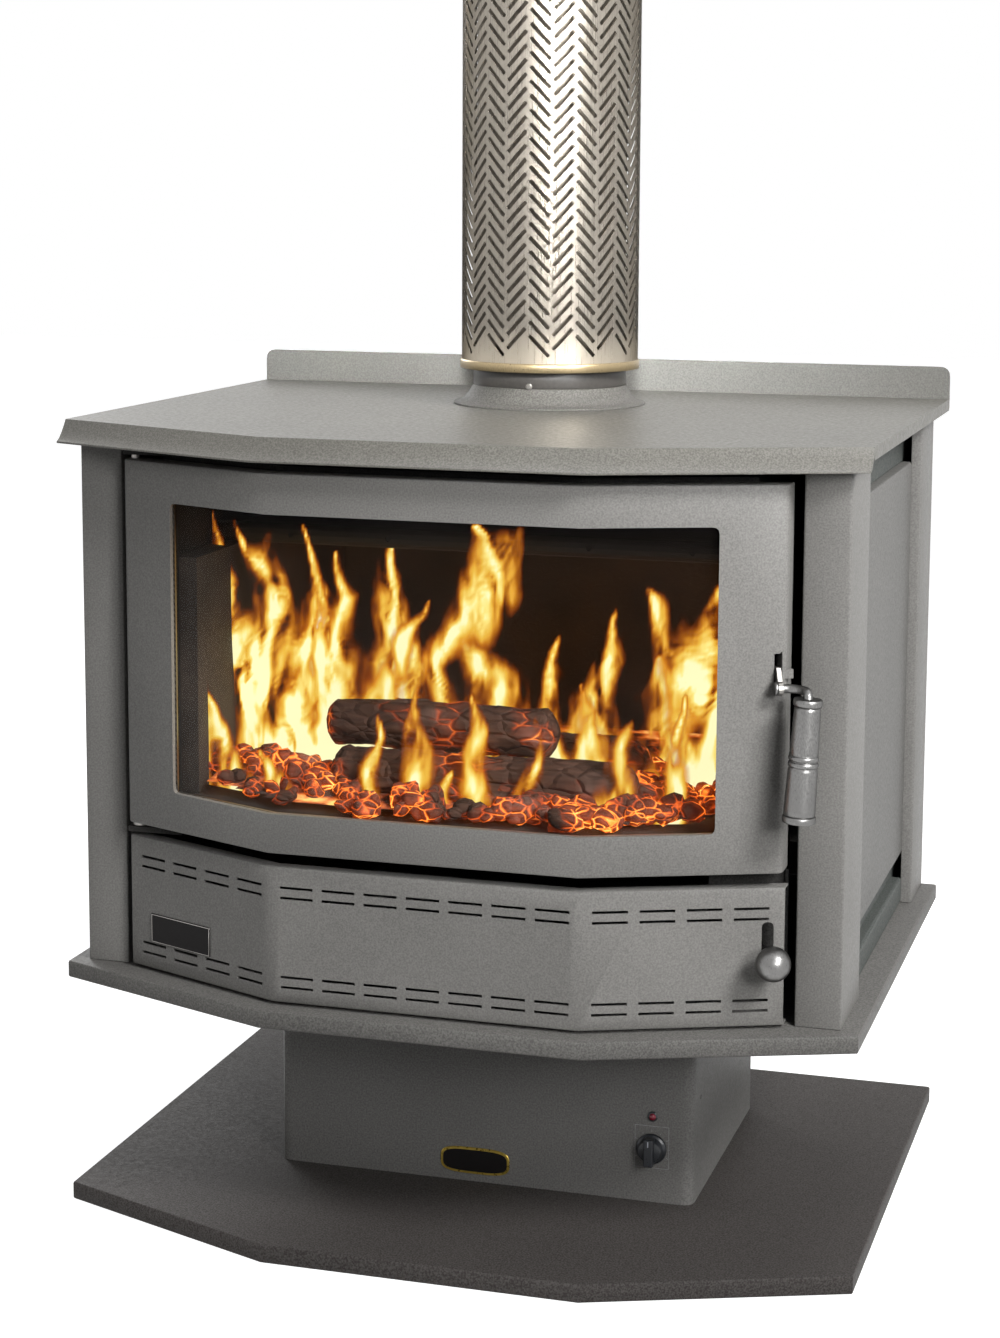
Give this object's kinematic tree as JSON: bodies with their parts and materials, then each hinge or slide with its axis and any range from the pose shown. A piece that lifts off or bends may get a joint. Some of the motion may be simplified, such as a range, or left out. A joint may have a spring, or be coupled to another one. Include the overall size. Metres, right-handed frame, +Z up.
{
  "type": "wood burning stove",
  "caption": "Bay-fronted freestanding wood stove on a fan pedestal, with a glazed hinged door, hook latch, air slide, firebrick lining and a flue in a perforated casing.",
  "frame": {"origin": "middle of the footprint, on the floor, under the base plate", "axes": "+Z up, the glazed bay front faces -Y, +X to the right of someone facing the stove, where the latch handle is"},
  "size_m": [0.77, 0.629, 1.2675],
  "materials": {
    "charcoal_paint": "metallic charcoal stove paint, satin, with a fine grain",
    "dark_paint": "dark stove paint, satin",
    "top_paint": "grey stove paint, satin",
    "black_steel": "heat resistant black, matt",
    "steel": "bare steel, satin",
    "stainless": "brushed stainless steel",
    "pewter": "satin nickel, slightly worn",
    "firebrick": "vermiculite board, sooted",
    "rope": "glass fibre rope, dark",
    "glazing": "clear ceramic glass, faintly amber",
    "firewood": "charred split log",
    "black_plastic": "black moulding, satin",
    "lamp": "dark red lens, unlit"
  },
  "bodies": {
    "stove_body": {"base_plate": "dark_paint", "hearth_tray": "charcoal_paint", "pedestal_shell": "charcoal_paint", "pedestal_rear_cover": "charcoal_paint", "cable_gland": "black_plastic", "speed_switch": "black_plastic", "indicator_lamp": "lamp", "fan_scroll": "steel", "fan_motor": "steel", "fan_bracket": "steel", "front_post_right": "charcoal_paint", "front_post_left": "charcoal_paint", "rear_post_right": "charcoal_paint", "rear_post_left": "charcoal_paint", "side_panel_right": "charcoal_paint", "side_panel_left": "charcoal_paint", "side_shield_right": "black_steel", "side_shield_left": "black_steel", "rear_panel": "charcoal_paint", "firebox_shell": "black_steel", "firebox_leg_right": "black_steel", "firebox_leg_left": "black_steel", "hearth_brick": "firebrick", "side_brick_right": "firebrick", "side_brick_left": "firebrick", "rear_brick": "firebrick", "baffle_plate": "firebrick", "secondary_air_tube": "black_steel", "firewood_front": "firewood", "firewood_rear": "firewood", "firewood_top": "firewood", "hinge_bracket_lower": "black_steel", "hinge_bracket_upper": "black_steel", "hinge_pin_lower": "steel", "hinge_pin_upper": "steel", "latch_catch": "steel", "lower_panel": "charcoal_paint", "air_guide": "black_steel", "top_plate": "top_paint", "splashback": "top_paint", "flue_cone": "top_paint", "flue_collar": "black_steel", "flue_pipe": "steel", "perforated_casing": "stainless", "casing_band": "stainless", "casing_spacer_lower": "steel", "casing_spacer_upper": "steel"},
    "door": {"door_frame": "charcoal_paint", "door_glass": "glazing", "glass_gasket": "rope", "glass_retainer": "steel", "door_rope_seal": "rope", "latch_bracket": "steel"},
    "latch_handle": {"latch_hook": "steel", "latch_rod": "pewter", "handle_grip": "pewter"},
    "air_control": {"air_slide": "black_steel", "air_control_knob": "pewter"},
    "speed_knob": {"fan_speed_knob": "black_plastic"},
    "fan_rotor": {"fan_wheel": "steel"}
  },
  "joints": [
    {"name": "door_hinge", "type": "hinge", "parent": "stove_body", "child": "door", "pos_m": [-0.307, -0.21166, 0.56], "axis": [0, 0, -1], "range_deg": [0, 110]},
    {"name": "latch_pivot", "type": "hinge", "parent": "door", "child": "latch_handle", "pos_m": [0.29614, -0.19632, 0.56461], "axis": [-0.9239, -0.3827, 0], "range_deg": [0, 20]},
    {"name": "air_slide_travel", "type": "slide", "parent": "stove_body", "child": "air_control", "axis": [0, 0, 1], "range_m": [0, 0.026]},
    {"name": "fan_speed_turn", "type": "hinge", "parent": "stove_body", "child": "speed_knob", "pos_m": [0.1703, -0.0985, 0.072], "axis": [0, -1, 0], "range_deg": [0, 120]},
    {"name": "fan_spin", "type": "hinge", "parent": "stove_body", "child": "fan_rotor", "pos_m": [0, 0.0415, 0.12175], "axis": [1, 0, 0], "continuous": true}
  ]
}
